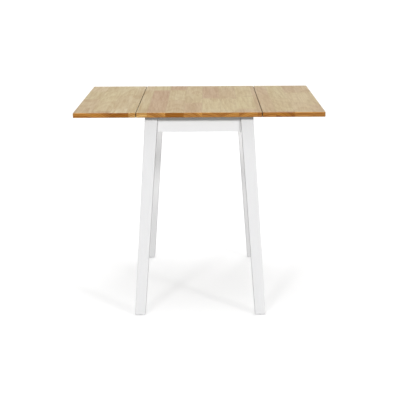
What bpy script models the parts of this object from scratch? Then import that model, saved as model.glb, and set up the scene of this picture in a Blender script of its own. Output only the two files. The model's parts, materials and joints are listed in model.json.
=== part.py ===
"""Drop-leaf table with its leaves up: a splayed-leg frame, three top boards and two hinged leaves.

Metres, +Z up. The origin is on the floor under the middle of the table, +X points to
the right leaf and +Y to the back. Each leaf turns about its hinge line, and a support
arm under it turns about a pin on the side apron.
"""

from math import atan2, cos, hypot, pi, radians, sin, sqrt

import bmesh
import bpy
from mathutils import Matrix, Vector

GAP = 0.0003  # between pieces that touch
SAME_PLACE = 1e-5  # points closer than this are one place
THROUGH = 0.020  # length of a drill that goes right through a plate or a nut
ROUND_SIDES = 16  # facets of a drilled hole or a small shaft

# Top boards
TOP_WIDTH = 0.900
TOP_DEPTH = 0.750
TOP_HEIGHT = 0.750
BOARD_THICKNESS = 0.018
LEAF_WIDTH = 0.225  # from the joint line to the outer edge
JOINT_OPENING = 0.0024  # between a leaf and the centre board
OUTER_ROUNDING = 0.0018
CORNER_ROUNDING = 0.004  # of the leaves' outer corners, seen from above
JOINT_ROUNDING = 0.0005
UNDERSIDE = TOP_HEIGHT - BOARD_THICKNESS
JOINT_X = TOP_WIDTH / 2 - LEAF_WIDTH

# Legs: square, tapered, and leaning outwards by the same amount in X and Y
LEG_TOP_X = 0.194  # outer faces where the leg meets the top
LEG_TOP_Y = 0.347
LEG_SPLAY = 0.0455  # how far the outer faces move out down to the floor
LEG_TOP_SIZE = 0.0455
LEG_FOOT_SIZE = 0.0378
LEG_ROUNDING = 0.0022

# Aprons and centre rail
APRON_HEIGHT = 0.057
APRON_THICKNESS = 0.020
APRON_SETBACK = 0.008  # behind the legs' outer faces
APRON_ROUNDING = 0.001
RAIL_HEIGHT = 0.045
APRON_OUTER_X = LEG_TOP_X - APRON_SETBACK
APRON_OUTER_Y = LEG_TOP_Y - APRON_SETBACK
APRON_INNER_X = APRON_OUTER_X - APRON_THICKNESS
APRON_INNER_Y = APRON_OUTER_Y - APRON_THICKNESS

# Corner plates with the leg bolts
PLATE_THICKNESS = 0.002
PLATE_HEIGHT = 0.040
PLATE_REACH = 0.062  # from the corner of the aprons to where the plate leaves each of them
PLATE_FLANGE = 0.024
BOLT_DROP = 0.028  # below the underside of the top
BOLT_RADIUS = 0.004
BOLT_IN_LEG = 0.030
BOLT_END_ROOM = 0.001
BOLT_PAST_PLATE = 0.014
NUT_RADIUS = 0.0075
NUT_THICKNESS = 0.0065

# Foot glides
GLIDE_RADIUS = 0.012
GLIDE_THICKNESS = 0.002
GLIDE_NAIL_RADIUS = 0.0013
GLIDE_NAIL_LENGTH = 0.014

# Angle brackets that hold the centre board on the aprons
FIXING_LEG = 0.018
FIXING_WIDTH = 0.018
FIXING_THICKNESS = 0.002
FIXING_SIDE_Y = 0.150

# Hinges: rolled knuckles under the joint line
HINGE_LENGTH = 0.060
HINGE_FLAP = 0.027  # from the pin's axis to the flap's outer edge
HINGE_THICKNESS = 0.0015
KNUCKLE_RADIUS = 0.0032
KNUCKLE_COUNT = 5
KNUCKLE_SLOT = 0.0040  # how far a flap is cut back beside the other flap's knuckles
KNUCKLE_ROLL = radians(285)
HINGE_PIN_RADIUS = 0.0014
HINGE_PIN_HEAD = 0.0026
HINGE_PIN_HEAD_THICKNESS = 0.001
HINGE_Y = 0.300
HINGE_AXIS_Z = UNDERSIDE - GAP - KNUCKLE_RADIUS

# Support arms, one under the middle of each leaf
ARM_PIVOT_X = 0.204
ARM_PIVOT_DROP = 0.040
ARM_TIP_X = 0.335
ARM_HALF_HEIGHT = 0.008
ARM_WIDTH = 0.018
ARM_PIN_RADIUS = 0.003
ARM_PIN_HEAD = 0.005
ARM_PIN_HEAD_THICKNESS = 0.0015
CATCH_THICKNESS = 0.0015
CATCH_LIP = 0.0025
CATCH_WIDTH = 0.030
CATCH_INNER_X = 0.322
CATCH_LIP_X = 0.3445
CATCH_OUTER_X = 0.356
BRACKET_THICKNESS = 0.0025
BRACKET_WIDTH = 0.052
BRACKET_HEIGHT = 0.036
BRACKET_REACH = 0.027
BRACKET_PLAY = 0.0006  # beside the arm
EAR_ROUNDING = 0.009

WOOD = ((0.46, 0.25, 0.11), 0.35, 0.0)
WHITE_LACQUER = ((0.82, 0.82, 0.81), 0.35, 0.0)
STEEL = ((0.58, 0.58, 0.56), 0.35, 1.0)
PLASTIC = ((0.70, 0.69, 0.66), 0.50, 0.0)

SIDES = {"left": -1, "right": 1}
ENDS = {"front": -1, "rear": 1}


def clear_scene():
    for obj in list(bpy.data.objects):
        bpy.data.objects.remove(obj, do_unlink=True)


def add_piece(name, bm, finish, matrix=None, parent=None):
    """Turns a bmesh into a named object with its own material, placed in its parent's frame."""
    bmesh.ops.recalc_face_normals(bm, faces=bm.faces)
    mesh = bpy.data.meshes.new(name)
    bm.to_mesh(mesh)
    bm.free()
    mesh.shade_smooth()
    mesh.set_sharp_from_angle(angle=radians(35))
    piece = bpy.data.objects.new(name, mesh)
    piece.parent = parent
    piece.matrix_local = matrix or Matrix.Identity(4)
    bpy.context.scene.collection.objects.link(piece)
    if finish:
        colour, roughness, metallic = finish
        material = bpy.data.materials.new(name + "_finish")
        material.use_nodes = True
        shader = material.node_tree.nodes["Principled BSDF"]
        shader.inputs["Base Color"].default_value = (*colour, 1.0)
        shader.inputs["Roughness"].default_value = roughness
        shader.inputs["Metallic"].default_value = metallic
        material.diffuse_color = (*colour, 1.0)
        mesh.materials.append(material)
    return piece


def add_axis(name, x, z):
    """An empty on a joint's axis, which runs along Y."""
    axis = bpy.data.objects.new(name, None)
    axis.location = (x, 0.0, z)
    axis.empty_display_size = 0.05
    bpy.context.scene.collection.objects.link(axis)
    return axis


def turned_about_z(x, y, z, angle=0.0):
    return Matrix.Translation((x, y, z)) @ Matrix.Rotation(angle, 4, "Z")


def facing(side):
    """The turn about Z that makes a right-hand piece a left-hand one."""
    return 0.0 if side > 0 else pi


def prism(outline, start, end, plane):
    """A solid with the given outline in the XY or XZ plane, from start to end along the third axis."""
    bm = bmesh.new()
    rings = []
    for level in (start, end):
        if plane == "XY":
            corners = [(a, b, level) for a, b in outline]
        else:
            corners = [(a, level, b) for a, b in outline]
        rings.append([bm.verts.new(corner) for corner in corners])
    low, high = rings
    bm.faces.new(low)
    bm.faces.new(list(reversed(high)))
    for i, corner in enumerate(low):
        after = (i + 1) % len(low)
        bm.faces.new((low[after], corner, high[i], high[after]))
    return bm


def box(x_range, y_range, z_range):
    (x0, x1), (y0, y1) = x_range, y_range
    return prism([(x0, y0), (x1, y0), (x1, y1), (x0, y1)], *z_range, "XY")


def lathe(profile, sides=ROUND_SIDES):
    """A solid turned about Z from (radius, height) points that start and end on the axis."""
    bm = bmesh.new()
    points = [bm.verts.new((radius, 0.0, height)) for radius, height in profile]
    edges = [bm.edges.new(pair) for pair in zip(points, points[1:])]
    bmesh.ops.spin(
        bm,
        geom=points + edges,
        cent=(0, 0, 0),
        axis=(0, 0, 1),
        angle=2 * pi,
        steps=sides,
        use_merge=True,
    )
    bmesh.ops.remove_doubles(bm, verts=bm.verts, dist=1e-6)
    return bm


def headed_pin(radius, head_radius, head_thickness, grip):
    """A pin about Z with a head past each end of the stretch that it goes through."""
    half = grip / 2
    end = half + head_thickness
    return lathe(
        [
            (0.0, -end),
            (head_radius, -end),
            (head_radius, -half),
            (radius, -half),
            (radius, half),
            (head_radius, half),
            (head_radius, end),
            (0.0, end),
        ]
    )


def bevel_modifier(piece, width, segments=2):
    bevel = piece.modifiers.new("rounded_edges", "BEVEL")
    bevel.width = width
    bevel.segments = segments
    bevel.limit_method = "ANGLE"
    bevel.angle_limit = radians(40)


def cut(piece, cutter_bm, matrix=None):
    """Subtracts a closed shape, given in the piece's own frame."""
    name = f"{piece.name}_cutter_{len(piece.modifiers)}"
    cutter = add_piece(name, cutter_bm, None, matrix, piece)
    cutter.hide_render = True
    cutter.display_type = "WIRE"
    boolean = piece.modifiers.new("cut", "BOOLEAN")
    boolean.operation = "DIFFERENCE"
    boolean.solver = "EXACT"
    boolean.object = cutter


def drill(piece, centre, direction, radius, length):
    """A round hole in the piece's own frame, its middle at centre."""
    half = length / 2
    rod = lathe([(0.0, -half), (radius, -half), (radius, half), (0.0, half)])
    turn = Vector(direction).to_track_quat("Z", "Y").to_matrix().to_4x4()
    cut(piece, rod, Matrix.Translation(centre) @ turn)


def round_edges(bm, chosen, radius, segments):
    """Rounds the edges whose midpoint the given test accepts."""
    edges = [e for e in bm.edges if chosen((e.verts[0].co + e.verts[1].co) / 2)]
    bmesh.ops.bevel(
        bm,
        geom=edges,
        offset=radius,
        offset_type="OFFSET",
        segments=segments,
        profile=0.5,
        affect="EDGES",
    )


# Top boards


def board(x_range, joint_xs):
    """A board in XY with its top face at TOP_HEIGHT, softer on its outer edges than at the joints."""
    bm = box(x_range, (-TOP_DEPTH / 2, TOP_DEPTH / 2), (UNDERSIDE, TOP_HEIGHT))

    def at_joint(middle):
        return any(abs(middle.x - x) < SAME_PLACE for x in joint_xs)

    def across_joint_end(middle):
        return at_joint(middle) and abs(middle.y) < TOP_DEPTH / 4

    def upright(middle):
        return abs(middle.z - (UNDERSIDE + TOP_HEIGHT) / 2) < SAME_PLACE

    round_edges(bm, lambda m: upright(m) and not at_joint(m), CORNER_ROUNDING, 4)
    round_edges(bm, lambda m: not upright(m) and not at_joint(m), OUTER_ROUNDING, 3)
    round_edges(bm, across_joint_end, JOINT_ROUNDING, 1)
    return bm


def make_top(leaf_axes):
    inner = JOINT_X - JOINT_OPENING / 2
    outer = JOINT_X + JOINT_OPENING / 2
    add_piece("centre_top", board((-inner, inner), (-inner, inner)), WOOD)
    for name, side in SIDES.items():
        bm = board((outer, TOP_WIDTH / 2), (outer,))
        bmesh.ops.translate(bm, verts=bm.verts, vec=(-JOINT_X, 0.0, -HINGE_AXIS_Z))
        turn = Matrix.Rotation(facing(side), 4, "Z")
        add_piece(f"{name}_leaf", bm, WOOD, turn, leaf_axes[name])


# Legs, glides and their bolts. Each leg's own frame has its origin at the outer top corner,
# and a quarter turn takes one leg to the next.


def leg_faces(drop):
    """Inner and outer face of a leg, measured from its outer face at the top, at a drop below it."""
    share = drop / UNDERSIDE
    outer = LEG_SPLAY * share
    size = LEG_TOP_SIZE + (LEG_FOOT_SIZE - LEG_TOP_SIZE) * share
    return outer - size, outer


def leg_frames():
    """Each leg's name with its frame and the turn that takes +X +Y to that corner."""
    corners = {
        "rear_right": (1, 1, 0.0),
        "rear_left": (-1, 1, pi / 2),
        "front_left": (-1, -1, pi),
        "front_right": (1, -1, -pi / 2),
    }
    for name, (x_sign, y_sign, turn) in corners.items():
        yield name, turned_about_z(x_sign * LEG_TOP_X, y_sign * LEG_TOP_Y, UNDERSIDE, turn)


def leg():
    bm = bmesh.new()
    rings = []
    for drop in (GAP, UNDERSIDE - GLIDE_THICKNESS - GAP):
        a, b = leg_faces(drop)
        corners = [(a, a), (b, a), (b, b), (a, b)]
        rings.append([bm.verts.new((x, y, -drop)) for x, y in corners])
    bm.faces.new(rings[0])
    bm.faces.new(rings[1])
    bmesh.ops.bridge_loops(bm, edges=bm.edges[:])
    return bm


def glide():
    edge = GLIDE_THICKNESS / 3
    top = GLIDE_THICKNESS
    return lathe(
        [
            (0.0, 0.0),
            (GLIDE_RADIUS - edge, 0.0),
            (GLIDE_RADIUS, edge),
            (GLIDE_RADIUS, top),
            (GLIDE_NAIL_RADIUS, top),
            (GLIDE_NAIL_RADIUS, top + GLIDE_NAIL_LENGTH),
            (0.0, top + GLIDE_NAIL_LENGTH + GLIDE_NAIL_RADIUS),
        ]
    )


def corner_plate():
    """A bent plate across the inner corner of two aprons, in the leg's frame."""
    corner = -APRON_SETBACK - APRON_THICKNESS
    near, far = GAP, GAP + PLATE_THICKNESS
    bend = PLATE_REACH + PLATE_THICKNESS * (sqrt(2) - 1)
    end = PLATE_REACH + PLATE_FLANGE
    outside = [(near, end), (near, PLATE_REACH), (PLATE_REACH, near), (end, near)]
    inside = [(end, far), (bend, far), (far, bend), (far, end)]
    outline = [(corner - u, corner - v) for u, v in outside + inside]
    middle = -BOLT_DROP
    return prism(outline, middle - PLATE_HEIGHT / 2, middle + PLATE_HEIGHT / 2, "XY")


def make_legs():
    # The bolt runs along the diagonal of the corner: c is the distance along it from the
    # leg's outer corner, towards the middle of the table.
    plate_c = (2 * (APRON_SETBACK + APRON_THICKNESS) + PLATE_REACH + GAP) / sqrt(2)
    leg_c = -leg_faces(BOLT_DROP)[0] * sqrt(2)
    nut_c = plate_c + PLATE_THICKNESS + GAP
    bolt_end_c = plate_c + BOLT_PAST_PLATE
    bolt_tip_c = leg_c - BOLT_IN_LEG
    inwards = Vector((-1.0, -1.0, 0.0)).normalized()
    lying = inwards.to_track_quat("Z", "Y").to_matrix().to_4x4()

    def on_bolt(c):
        return inwards * c + Vector((0.0, 0.0, -BOLT_DROP))

    foot_inner, foot_outer = leg_faces(UNDERSIDE)
    foot = (foot_inner + foot_outer) / 2
    for name, frame in leg_frames():
        piece = add_piece(f"{name}_leg", leg(), WHITE_LACQUER, frame)
        bevel_modifier(piece, LEG_ROUNDING)
        bolt_room = BOLT_IN_LEG + 2 * BOLT_END_ROOM
        drill(piece, on_bolt(leg_c - BOLT_IN_LEG / 2), inwards, BOLT_RADIUS + GAP, bolt_room)
        nail_room = GLIDE_NAIL_LENGTH + GLIDE_NAIL_RADIUS + GAP
        nail_top = (foot, foot, GLIDE_THICKNESS - UNDERSIDE)
        drill(piece, nail_top, (0, 0, 1), GLIDE_NAIL_RADIUS + GAP, 2 * nail_room)
        standing = frame @ Matrix.Translation((foot, foot, -UNDERSIDE))
        add_piece(f"{name}_glide", glide(), PLASTIC, standing)
        plate = add_piece(f"{name}_corner_plate", corner_plate(), STEEL, frame)
        drill(plate, on_bolt(plate_c), inwards, BOLT_RADIUS + GAP, THROUGH)
        length = bolt_end_c - bolt_tip_c
        tip = BOLT_RADIUS / 2
        rod = lathe(
            [
                (0.0, 0.0),
                (BOLT_RADIUS - tip, 0.0),
                (BOLT_RADIUS, tip),
                (BOLT_RADIUS, length - tip),
                (BOLT_RADIUS - tip, length),
                (0.0, length),
            ]
        )
        place = frame @ Matrix.Translation(on_bolt(bolt_tip_c)) @ lying
        add_piece(f"{name}_hanger_bolt", rod, STEEL, place)
        hexagon = [(NUT_RADIUS * cos(k * pi / 3), NUT_RADIUS * sin(k * pi / 3)) for k in range(6)]
        place = frame @ Matrix.Translation(on_bolt(nut_c)) @ lying
        nut = add_piece(f"{name}_leg_nut", prism(hexagon, 0.0, NUT_THICKNESS, "XY"), STEEL, place)
        drill(nut, (0, 0, NUT_THICKNESS / 2), (0, 0, 1), BOLT_RADIUS + GAP, THROUGH)


# Aprons, centre rail and top fixings


def apron_outline(top_face, height):
    """Seen from outside, an apron widens downwards between the leaning legs."""
    high, low = GAP, height
    top = top_face + leg_faces(high)[0] - GAP
    bottom = top_face + leg_faces(low)[0] - GAP
    return [(-top, -high), (top, -high), (bottom, -low), (-bottom, -low)]


def make_aprons():
    for name, end in ENDS.items():
        outline = apron_outline(LEG_TOP_X, APRON_HEIGHT)
        bm = prism(outline, APRON_INNER_Y, APRON_OUTER_Y, "XZ")
        place = turned_about_z(0.0, 0.0, UNDERSIDE, 0.0 if end > 0 else pi)
        bevel_modifier(add_piece(f"{name}_apron", bm, WHITE_LACQUER, place), APRON_ROUNDING)
    for name, side in SIDES.items():
        outline = apron_outline(LEG_TOP_Y, APRON_HEIGHT)
        bm = prism(outline, APRON_INNER_X, APRON_OUTER_X, "XZ")
        place = turned_about_z(0.0, 0.0, UNDERSIDE, -side * pi / 2)
        bevel_modifier(add_piece(f"{name}_apron", bm, WHITE_LACQUER, place), APRON_ROUNDING)
    half = APRON_INNER_X - GAP
    width = APRON_THICKNESS / 2
    bm = box((-half, half), (-width, width), (-RAIL_HEIGHT, -GAP))
    rail = add_piece("centre_rail", bm, WHITE_LACQUER, turned_about_z(0.0, 0.0, UNDERSIDE))
    bevel_modifier(rail, APRON_ROUNDING)


def make_top_fixings():
    """Angle brackets: own frame at the apron's inner face, -X towards the middle of the table."""
    near, far, tip = -GAP, -GAP - FIXING_THICKNESS, -GAP - FIXING_LEG
    outline = [(near, near), (tip, near), (tip, far), (far, far), (far, tip), (near, tip)]
    places = {
        "front": (0.0, -APRON_INNER_Y, -pi / 2),
        "rear": (0.0, APRON_INNER_Y, pi / 2),
    }
    for side_name, side in SIDES.items():
        for end_name, end in ENDS.items():
            name = f"{side_name}_{end_name}"
            places[name] = (side * APRON_INNER_X, end * FIXING_SIDE_Y, facing(side))
    for name, (x, y, turn) in places.items():
        bm = prism(outline, -FIXING_WIDTH / 2, FIXING_WIDTH / 2, "XZ")
        add_piece(f"{name}_top_fixing", bm, STEEL, turned_about_z(x, y, UNDERSIDE, turn))


# Hinges. Own frame: the pin's axis along Y at the origin, the flap towards +X, the top at +Z.


def knuckle_outline(steps=14):
    """A strip that runs in from +X, flush with the top of the knuckle, and rolls round the pin."""
    outer, inner = KNUCKLE_RADIUS, KNUCKLE_RADIUS - HINGE_THICKNESS
    turns = [pi / 2 + KNUCKLE_ROLL * k / steps for k in range(steps + 1)]
    outside = [(outer * cos(t), outer * sin(t)) for t in turns]
    inside = [(inner * cos(t), inner * sin(t)) for t in reversed(turns)]
    return [(HINGE_FLAP, outer)] + outside + inside + [(HINGE_FLAP, inner)]


def add_flap(name, owned, matrix, parent):
    """A hinge flap that keeps the knuckles in owned and is cut back beside the others."""
    half = HINGE_LENGTH / 2
    piece = add_piece(name, prism(knuckle_outline(), -half, half, "XZ"), STEEL, matrix, parent)
    pitch = HINGE_LENGTH / KNUCKLE_COUNT
    past = 2 * KNUCKLE_RADIUS
    for k in range(KNUCKLE_COUNT):
        if k in owned:
            continue
        start = -half + k * pitch - (GAP / 2 if k else past)
        end = -half + (k + 1) * pitch + (GAP / 2 if k + 1 < KNUCKLE_COUNT else past)
        cut(piece, box((-past, KNUCKLE_SLOT), (start, end), (-past, past)))


def make_hinges(leaf_axes):
    fixed = range(0, KNUCKLE_COUNT, 2)
    moving = range(1, KNUCKLE_COUNT, 2)
    grip = HINGE_LENGTH + 2 * GAP
    along_y = Matrix.Rotation(pi / 2, 4, "X")
    spots = {"front": -HINGE_Y, "middle": 0.0, "rear": HINGE_Y}
    for side_name, side in SIDES.items():
        for spot, y in spots.items():
            name = f"{side_name}_{spot}_hinge"
            towards_middle = turned_about_z(side * JOINT_X, y, HINGE_AXIS_Z, facing(-side))
            add_flap(f"{name}_fixed_flap", fixed, towards_middle, None)
            outwards = turned_about_z(0.0, y, 0.0, facing(side))
            add_flap(f"{name}_leaf_flap", moving, outwards, leaf_axes[side_name])
            bm = headed_pin(HINGE_PIN_RADIUS, HINGE_PIN_HEAD, HINGE_PIN_HEAD_THICKNESS, grip)
            place = turned_about_z(side * JOINT_X, y, HINGE_AXIS_Z) @ along_y
            add_piece(f"{name}_pin", bm, STEEL, place)


# Support arms. Own frame of a bracket and its arm: the arm's pivot at the origin, +X outwards.


def arm_lean():
    """The arm's length between centres and its rise above level when the leaf is up."""
    tip_drop = 2 * GAP + CATCH_THICKNESS + ARM_HALF_HEIGHT
    run, rise = ARM_TIP_X - ARM_PIVOT_X, ARM_PIVOT_DROP - tip_drop
    return hypot(run, rise), atan2(rise, run)


def arm(length):
    steps = 10
    outline = []
    for centre, first in ((length, -pi / 2), (0.0, pi / 2)):
        for k in range(steps + 1):
            turn = first + pi * k / steps
            x = centre + ARM_HALF_HEIGHT * cos(turn)
            outline.append((x, ARM_HALF_HEIGHT * sin(turn)))
    return prism(outline, -ARM_WIDTH / 2, ARM_WIDTH / 2, "XZ")


def arm_bracket():
    """A plate on the side apron with two ears for the pin."""
    back = APRON_OUTER_X + GAP - ARM_PIVOT_X
    front = back + BRACKET_THICKNESS
    tip = back + BRACKET_REACH
    slot = ARM_WIDTH / 2 + BRACKET_PLAY
    ear = slot + BRACKET_THICKNESS
    half = BRACKET_WIDTH / 2
    right = [(back, half), (front, half), (front, ear), (tip, ear), (tip, slot), (front, slot)]
    outline = right + [(x, -y) for x, y in reversed(right)]
    bm = prism(outline, -BRACKET_HEIGHT / 2, BRACKET_HEIGHT / 2, "XY")

    def at_ear_corner(middle):
        return abs(middle.x - tip) < SAME_PLACE and abs(middle.z) > BRACKET_HEIGHT / 4

    round_edges(bm, at_ear_corner, EAR_ROUNDING, 4)
    return bm


def make_supports(leaf_axes, arm_axes):
    length, lean = arm_lean()
    pivot_z = UNDERSIDE - ARM_PIVOT_DROP
    grip = ARM_WIDTH + 2 * (BRACKET_PLAY + BRACKET_THICKNESS + GAP)
    along_y = Matrix.Rotation(pi / 2, 4, "X")
    plate_top = UNDERSIDE - GAP - HINGE_AXIS_Z
    plate_under = plate_top - CATCH_THICKNESS
    lip_under = plate_under - CATCH_LIP
    inner, lip, outer = (x - JOINT_X for x in (CATCH_INNER_X, CATCH_LIP_X, CATCH_OUTER_X))
    catch = [
        (inner, plate_top),
        (outer, plate_top),
        (outer, lip_under),
        (lip, lip_under),
        (lip, plate_under),
        (inner, plate_under),
    ]
    for name, side in SIDES.items():
        turn = Matrix.Rotation(facing(side), 4, "Z")
        place = turned_about_z(side * ARM_PIVOT_X, 0.0, pivot_z, facing(side))
        bracket = add_piece(f"{name}_arm_bracket", arm_bracket(), STEEL, place)
        drill(bracket, (0, 0, 0), (0, 1, 0), ARM_PIN_RADIUS + GAP, BRACKET_WIDTH)
        raised = turn @ Matrix.Rotation(-lean, 4, "Y")
        piece = add_piece(f"{name}_support_arm", arm(length), WHITE_LACQUER, raised, arm_axes[name])
        bevel_modifier(piece, APRON_ROUNDING, 1)
        drill(piece, (0, 0, 0), (0, 1, 0), ARM_PIN_RADIUS + GAP, 2 * ARM_WIDTH)
        bm = headed_pin(ARM_PIN_RADIUS, ARM_PIN_HEAD, ARM_PIN_HEAD_THICKNESS, grip)
        add_piece(f"{name}_arm_pin", bm, STEEL, place @ along_y)
        bm = prism(catch, -CATCH_WIDTH / 2, CATCH_WIDTH / 2, "XZ")
        add_piece(f"{name}_arm_catch", bm, STEEL, turn, leaf_axes[name])


def main():
    clear_scene()
    leaf_axes = {}
    arm_axes = {}
    for name, side in SIDES.items():
        leaf_axes[name] = add_axis(f"{name}_leaf_axis", side * JOINT_X, HINGE_AXIS_Z)
        arm_axes[name] = add_axis(
            f"{name}_arm_axis", side * ARM_PIVOT_X, UNDERSIDE - ARM_PIVOT_DROP
        )
    make_top(leaf_axes)
    make_legs()
    make_aprons()
    make_top_fixings()
    make_hinges(leaf_axes)
    make_supports(leaf_axes, arm_axes)


main()
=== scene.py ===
"""Looks of the drop-leaf table: materials, hardware detail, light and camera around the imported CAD.

Metres, +Z up, the CAD's own frame: the floor is at Z = 0, +X points to the right leaf
and +Y to the back.
"""

import json
from math import ceil, copysign, cos, pi, radians, sin, sqrt

import bmesh
import bpy
from mathutils import Matrix, Vector

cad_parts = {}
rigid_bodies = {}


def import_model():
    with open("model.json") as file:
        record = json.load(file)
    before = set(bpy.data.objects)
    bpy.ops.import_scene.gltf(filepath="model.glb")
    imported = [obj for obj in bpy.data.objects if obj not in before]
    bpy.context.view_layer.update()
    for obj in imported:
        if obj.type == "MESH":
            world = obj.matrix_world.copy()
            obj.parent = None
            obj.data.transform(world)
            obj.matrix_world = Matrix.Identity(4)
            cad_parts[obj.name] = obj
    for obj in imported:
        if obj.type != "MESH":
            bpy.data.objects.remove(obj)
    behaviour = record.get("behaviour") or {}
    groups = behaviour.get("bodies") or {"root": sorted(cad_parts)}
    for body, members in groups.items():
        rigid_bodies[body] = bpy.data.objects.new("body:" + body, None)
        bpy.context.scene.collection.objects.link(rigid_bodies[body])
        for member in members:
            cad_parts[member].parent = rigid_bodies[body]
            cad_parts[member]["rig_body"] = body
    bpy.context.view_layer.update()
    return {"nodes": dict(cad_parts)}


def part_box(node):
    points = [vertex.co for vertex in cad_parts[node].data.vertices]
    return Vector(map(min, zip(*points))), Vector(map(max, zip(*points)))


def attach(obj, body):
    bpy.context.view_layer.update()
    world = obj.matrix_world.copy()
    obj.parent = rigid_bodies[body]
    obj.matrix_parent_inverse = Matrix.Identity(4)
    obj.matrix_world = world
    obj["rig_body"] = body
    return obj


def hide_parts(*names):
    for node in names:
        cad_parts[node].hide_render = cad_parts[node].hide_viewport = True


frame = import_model()
nodes = frame["nodes"]

# Camera: stands in front of the table, a little above its top, and looks slightly down
CAMERA_DISTANCE = 4.130
CAMERA_HEIGHT = 1.318
CAMERA_PITCH = radians(11.15)
CAMERA_HEADING = radians(0.36)
CAMERA_ROLL = radians(0.345)
CAMERA_LENS = 96.1
CAMERA_SENSOR = 36.0
CAMERA_SHIFT = -0.10
CAMERA_REACH = 500.0

# Light
SKY_STRENGTH = 0.40
# Each lamp: its bearing to the right of the camera's, its height above the horizon, its strength
# and the angle that it fills
LAMPS = {
    "right_key": (radians(42), radians(20.5), 1.40, radians(9)),
    "left_key": (radians(-20), radians(25.5), 1.25, radians(9)),
    "back_light": (radians(165), radians(19), 1.65, radians(25)),
    "ceiling": (0.0, radians(90), 1.70, radians(45)),
}
LOW_LAMP = radians(60)  # a lamp up to this height lights the table but isn't mirrored in it
# A panel behind the front apron throws light back at the rear legs and the underside
PANEL_SIZE = (0.30, 0.12)
PANEL_PLACE = (-0.02, -0.31, 0.58)
PANEL_SPREAD = radians(62)
PANEL_POWER = 0.50
FLOOR_SIZE = 120.0
FLOOR_ALBEDO = 0.36
FLOOR_BOUNCE = 0.22  # the floor's albedo as the table sees it
FLOOR_GLOW = 0.62

# Wooden top: staves that run from front to back, glued up from short finger-jointed blocks
STAVE_WIDTH = 0.0658
STAVE_START = -0.4495
STAVE_SEED = 3.7
BLOCK_LENGTH = 0.30
BLOCK_LENGTH_SPREAD = 0.25
BLOCK_SHIFTS = 5.0  # how many block lengths a stave may be slid by
BOARD_MIDDLE = 0.741  # height of the middle of the board's thickness
JOINT_X = 0.225  # from the middle of the table to where a leaf begins
# Painted shade: within this reach of each joint the wood is darkened as the gap's shade
JOINT_SHADE_REACH = 0.002  # how far to each side of it an edge counts as the joint's
FINGER_LENGTH = 0.0045
FINGER_PITCH = 0.0075
RING_WIDTH = 0.0062
RING_WANDER = 0.012
PITH_ASIDE = 0.05
PITH_DEPTH = (-0.20, -0.07)  # from the board's middle
GRAIN_LEAN = 0.05
# Moves each block to its own place in the noise
BLOCK_OFFSET = (37.0, 53.0, 71.0)
# Cycles in a metre of each pattern: across the stave, along it and through the board
WANDER_SCALE = (5.0, 3.5, 5.0)
CLOUD_SCALE = (22.0, 5.0, 22.0)
STREAK_SCALE = (120.0, 3.0, 120.0)
FLECK_SCALE = (230.0, 16.0, 230.0)
FIBRE_SCALE = (420.0, 9.0, 420.0)
RAY_SCALE = (520.0, 70.0, 520.0)
PORE_SCALE = (1100.0, 28.0, 1100.0)
SPECKLE_SCALE = (900.0, 900.0, 900.0)
RING_SPREAD = 90.0  # turns a distance from the pith into a slow change of tone
# The colours that a block's random draw picks from, for its faces and for its ends
BLOCK_TONES = (
    (0.00, (0.557, 0.409, 0.266)),
    (0.18, (0.632, 0.562, 0.349)),
    (0.45, (0.597, 0.479, 0.315)),
    (0.70, (0.660, 0.596, 0.370)),
    (0.86, (0.551, 0.409, 0.266)),
    (1.00, (0.734, 0.675, 0.469)),
)
END_TONES = (
    (0.00, (0.304, 0.102, 0.005)),
    (0.30, (0.441, 0.180, 0.025)),
    (0.60, (0.536, 0.251, 0.053)),
    (1.00, (0.672, 0.392, 0.122)),
)
# How light the end grain of each stave is along the front edge, from the left
FRONT_EDGE_TONES = (
    *(0.38, 0.36, 0.04, 1.00, 0.62, 0.00, 0.60),
    *(0.50, 0.48, 0.45, 0.40, 0.25, 0.58, 0.62),
)
GRAIN_SHADE = (0.62, 0.50, 0.36, 1.0)  # what a tone is multiplied by in its darkest grain
END_SHADE = (0.52, 0.38, 0.24, 1.0)
END_LIGHT = (1.30, 1.45, 1.70, 1.0)
RAY_COLOUR = (0.70, 0.55, 0.30, 1.0)
PORE_COLOUR = (0.20, 0.10, 0.035, 1.0)
# The glue lines' colour, also used for the painted shade in the gaps at the joints
GLUE_AND_GAP_SHADE_COLOUR = (0.16, 0.08, 0.03, 1.0)

# White lacquer: how white it is on pieces whose grain runs along each axis. The aprons are a
# little whiter than the legs as painted light, which makes up for the shade under the top's overhang
WHITENESS_WITH_PAINTED_LIGHT = {"X": 0.910, "Y": 0.880, "Z": 0.822}
LACQUER_BLUE = 0.003
LACQUER_SHADE = (0.928, 0.928, 0.930)
LACQUER_FINE = (380.0, 7.0)  # cycles in a metre across the grain and along it
LACQUER_BROAD = (60.0, 2.5)
ORANGE_PEEL_SCALE = (260.0, 260.0, 260.0)

# Steel and plastic
STEEL_CLOUD_SCALE = (70.0, 70.0, 70.0)
STEEL_MARK_SCALE = (1500.0, 900.0, 1500.0)
STEEL_SCRATCH_SCALE = (90.0, 1400.0, 1400.0)
SCRATCH_COLOUR = (0.82, 0.82, 0.80, 1.0)
HINGE_PALE = (0.70, 0.70, 0.68)
HINGE_GREY = (0.54, 0.55, 0.56)
FASTENER_PALE = (0.62, 0.61, 0.57)
FASTENER_GREY = (0.46, 0.46, 0.46)
PLASTIC_COLOUR = (0.74, 0.73, 0.70, 1.0)
PLASTIC_DUST = (0.60, 0.59, 0.55, 1.0)
MOULD_SCALE = (900.0, 900.0, 900.0)
DUST_SCALE = (120.0, 120.0, 120.0)

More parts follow.
